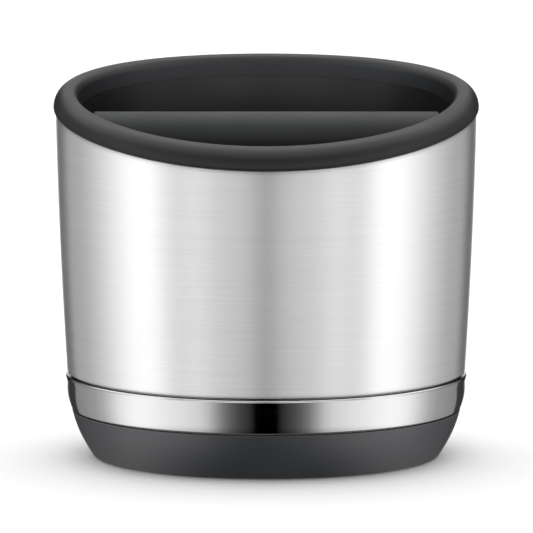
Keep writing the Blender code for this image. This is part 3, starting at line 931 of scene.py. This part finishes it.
class Studio(Graph):
    """The world's nodes under construction, with the direction of each ray."""

    def __init__(self):
        world = bpy.data.worlds.new("studio")
        world.use_nodes = True
        bpy.context.scene.world = world
        self.nodes = world.node_tree.nodes
        self.links = world.node_tree.links
        self.nodes.clear()
        split = self.nodes.new("ShaderNodeSeparateXYZ")
        direction = self.nodes.new("ShaderNodeTexCoord").outputs["Generated"]
        self.links.new(direction, split.inputs["Vector"])
        self.height = split.outputs["Z"]
        self.back = split.outputs["Y"]
        self.across = self.maths("ABSOLUTE", split.outputs["X"])
        self.front = self.maths("MULTIPLY", self.back, -1)
        angle = self.maths("ARCTAN2", self.across, self.front)
        self.compass = self.maths("DIVIDE", angle, math.pi)

    def ramp(self, share, stops):
        """Brightness by share of half a turn, from stops of (degrees, level)."""
        node = self.nodes.new("ShaderNodeValToRGB")
        elements = node.color_ramp.elements
        while len(elements) < len(stops):
            elements.new(1.0)
        for element, (angle, level) in zip(elements, stops):
            element.position = angle / HALF_TURN
            element.color = (*grey(level), 1)
        self.links.new(share, node.inputs["Fac"])
        return node.outputs["Color"]

    def background(self, colour=None):
        """A background of this colour, or else white."""
        node = self.nodes.new("ShaderNodeBackground")
        if colour:
            self.links.new(colour, node.inputs["Color"])
        else:
            node.inputs["Color"].default_value = (*grey(1), 1)
        return node.outputs["Background"]


def side_light(studio):
    """Light all round the sides, darker towards the table and ending some way up.

    An upright mirror faces midway between the camera and what it shows it, so facing and
    across give the turn of the mirror that shows each direction.
    """
    facing = studio.maths("ADD", studio.front, math.cos(math.radians(CAMERA_ELEVATION)))
    turn = studio.maths("ARCTAN2", studio.across, facing)
    low = studio.ramp(studio.maths("DIVIDE", turn, math.pi / 2), LOW_LIGHT)
    low = studio.maths("MULTIPLY", low, studio.step(studio.height, LOW_START, LOW_FULL))
    table = studio.step(studio.height, TABLE_START, TABLE_FULL, TABLE_LEVEL)
    low = studio.maths("MAXIMUM", low, table)
    high = studio.ramp(studio.compass, HIGH_LIGHT)
    rise = studio.step(studio.height, HIGH_START, HIGH_FULL)
    reach = studio.maths("MULTIPLY_ADD", studio.across, -HIGH_SIDES, studio.height)
    fall = studio.maths("SUBTRACT", 1, studio.step(reach, HIGH_FADE, HIGH_END))
    sides = studio.maths("MULTIPLY_ADD", studio.maths("SUBTRACT", high, low), rise, low)
    return studio.maths("MULTIPLY", sides, fall)


def overhead_light(studio):
    """A broad soft light overhead, which leans to the back and is stronger there."""
    lean = math.radians(TOP_LEAN)
    back = studio.maths("MULTIPLY", studio.back, math.sin(lean))
    nearness = studio.maths("MULTIPLY_ADD", studio.height, math.cos(lean), back)
    aside = studio.maths("MULTIPLY", studio.maths("POWER", studio.across, 2), TOP_WIDER)
    nearness = studio.maths("ADD", nearness, aside)
    edges = [math.cos(math.radians(width)) for width in (TOP_OUTER, TOP_INNER)]
    top = studio.step(nearness, *edges, TOP_LIGHT)
    away = studio.maths("MAXIMUM", studio.back, 0)
    foot = studio.maths("MULTIPLY_ADD", away, -TOP_FOOT_BACK, studio.height)
    top = studio.maths("MULTIPLY", top, studio.step(foot, TOP_FOOT, TOP_FOOT_FULL))
    return studio.maths("MULTIPLY", top, studio.maths("MULTIPLY_ADD", studio.front, -TOP_BIAS, 1))


def background_share(studio):
    """Where the white background shows: to the camera, and behind the box in reflections."""
    path = studio.nodes.new("ShaderNodeLightPath").outputs
    behind = studio.step(
        studio.compass, BACKGROUND_START / HALF_TURN, BACKGROUND_FULL / HALF_TURN
    )
    mirrored = studio.maths("MAXIMUM", path["Is Glossy Ray"], path["Is Transmission Ray"])
    above = studio.step(studio.height, BACKGROUND_FADE, BACKGROUND_END)
    level = studio.maths("SUBTRACT", 1, above)
    seen = studio.maths("MULTIPLY", mirrored, studio.maths("MULTIPLY", behind, level))
    return studio.maths("MAXIMUM", path["Is Camera Ray"], seen)


def make_world():
    """White behind the box for the camera and in reflections, and a soft studio all round."""
    studio = Studio()
    light = studio.maths("MAXIMUM", side_light(studio), overhead_light(studio))
    room = studio.background(light)
    share = background_share(studio)
    mix = studio.nodes.new("ShaderNodeMixShader")
    studio.links.new(share, mix.inputs[0])
    studio.links.new(room, mix.inputs[1])
    studio.links.new(studio.background(), mix.inputs[2])
    output = studio.nodes.new("ShaderNodeOutputWorld")
    studio.links.new(mix.outputs["Shader"], output.inputs["Surface"])


def make_floor():
    """A plain white floor that takes the box's soft shadow."""
    bpy.ops.mesh.primitive_plane_add(size=FLOOR_SIZE)
    floor = bpy.context.object
    floor.name = "floor"
    made = Finish("floor_white", grey(FLOOR_TONE))
    made.shader.inputs["Roughness"].default_value = 1
    made.shader.inputs["Specular IOR Level"].default_value = 0
    floor.data.materials.append(made.material)
    floor.visible_glossy = False


def make_camera():
    """The photograph's camera: far off, long, and a little above the box."""
    data = bpy.data.cameras.new("camera")
    camera = bpy.data.objects.new("camera", data)
    bpy.context.scene.collection.objects.link(camera)
    turn = math.radians(CAMERA_ELEVATION)
    aim = Vector((AIM_ASIDE, 0, AIM_HEIGHT))
    back = Vector((0, -math.cos(turn), math.sin(turn)))
    camera.location = aim + back * CAMERA_DISTANCE
    camera.rotation_euler = (math.radians(90) - turn, 0, 0)
    data.sensor_width = SENSOR
    data.lens = FOCAL
    data.clip_start = CLIP_NEAR
    data.clip_end = CLIP_FAR
    bpy.context.scene.camera = camera


def dress_body():
    """Pieces of the box itself, which stands still."""
    # Painted light makes the soft ring's inner side paler
    soft = moulded("soft_rubber_finish", *RING_RUBBER, painted_light_ring)
    foot = moulded("base_rubber_finish", *BOOT_RUBBER)
    # Painted light makes the tub paler at its mouth; its lower part is paler too
    plastic = moulded("dark_plastic_finish", *TUB_PLASTIC, tub_painted_light_and_paler_part)
    zinc = plated_steel("zinc_finish", *ZINC)
    place(make_ring(), "box", "rim_ring", soft, "soft_rubber")
    place(make_sleeve(), "box", "outer_sleeve", brushed_steel(), "brushed_steel")
    place(make_band(), "box", "trim_band", polished_steel(), "polished_steel")
    place(make_boot(), "box", "base_boot", foot, "base_rubber")
    tub = finer("moulded_tub", "inner_tub", bevel=0)
    place(tub, "box", "inner_tub", plastic, "dark_plastic")
    place(finer("moulded_tray", "base_tray"), "box", "base_tray", plastic, "dark_plastic")
    for side in ("left", "right"):
        pad = finer(f"rubber_pad_{side}", f"socket_pad_{side}")
        place(pad, "box", f"socket_pad_{side}", soft, "soft_rubber")
    for number in range(1, SCREW_COUNT + 1):
        place(make_screw(number), "box", f"base_screw_{number}", zinc, "zinc_screw")


def dress_bar():
    """Pieces of the knock bar, which lifts out of its sockets."""
    soft = moulded("bar_rubber_finish", *BAR_RUBBER)
    plastic = moulded("cap_plastic_finish", *CAP_PLASTIC)
    tube = plated_steel("tube_finish", *TUBE_STEEL)
    place(make_bar_sleeve(), "bar", "bar_rubber", soft, "soft_rubber")
    core = finer("steel_bar_tube", "bar_core", bevel=0)
    place(core, "bar", "bar_core", tube, "plain_steel")
    for side in ("left", "right"):
        cap = finer(f"moulded_cap_{side}", f"bar_cap_{side}")
        place(cap, "bar", f"bar_cap_{side}", plastic, "dark_plastic")


def main():
    dress_body()
    dress_bar()
    make_world()
    make_floor()
    make_camera()
    bpy.context.scene.view_settings.view_transform = "Standard"


main()
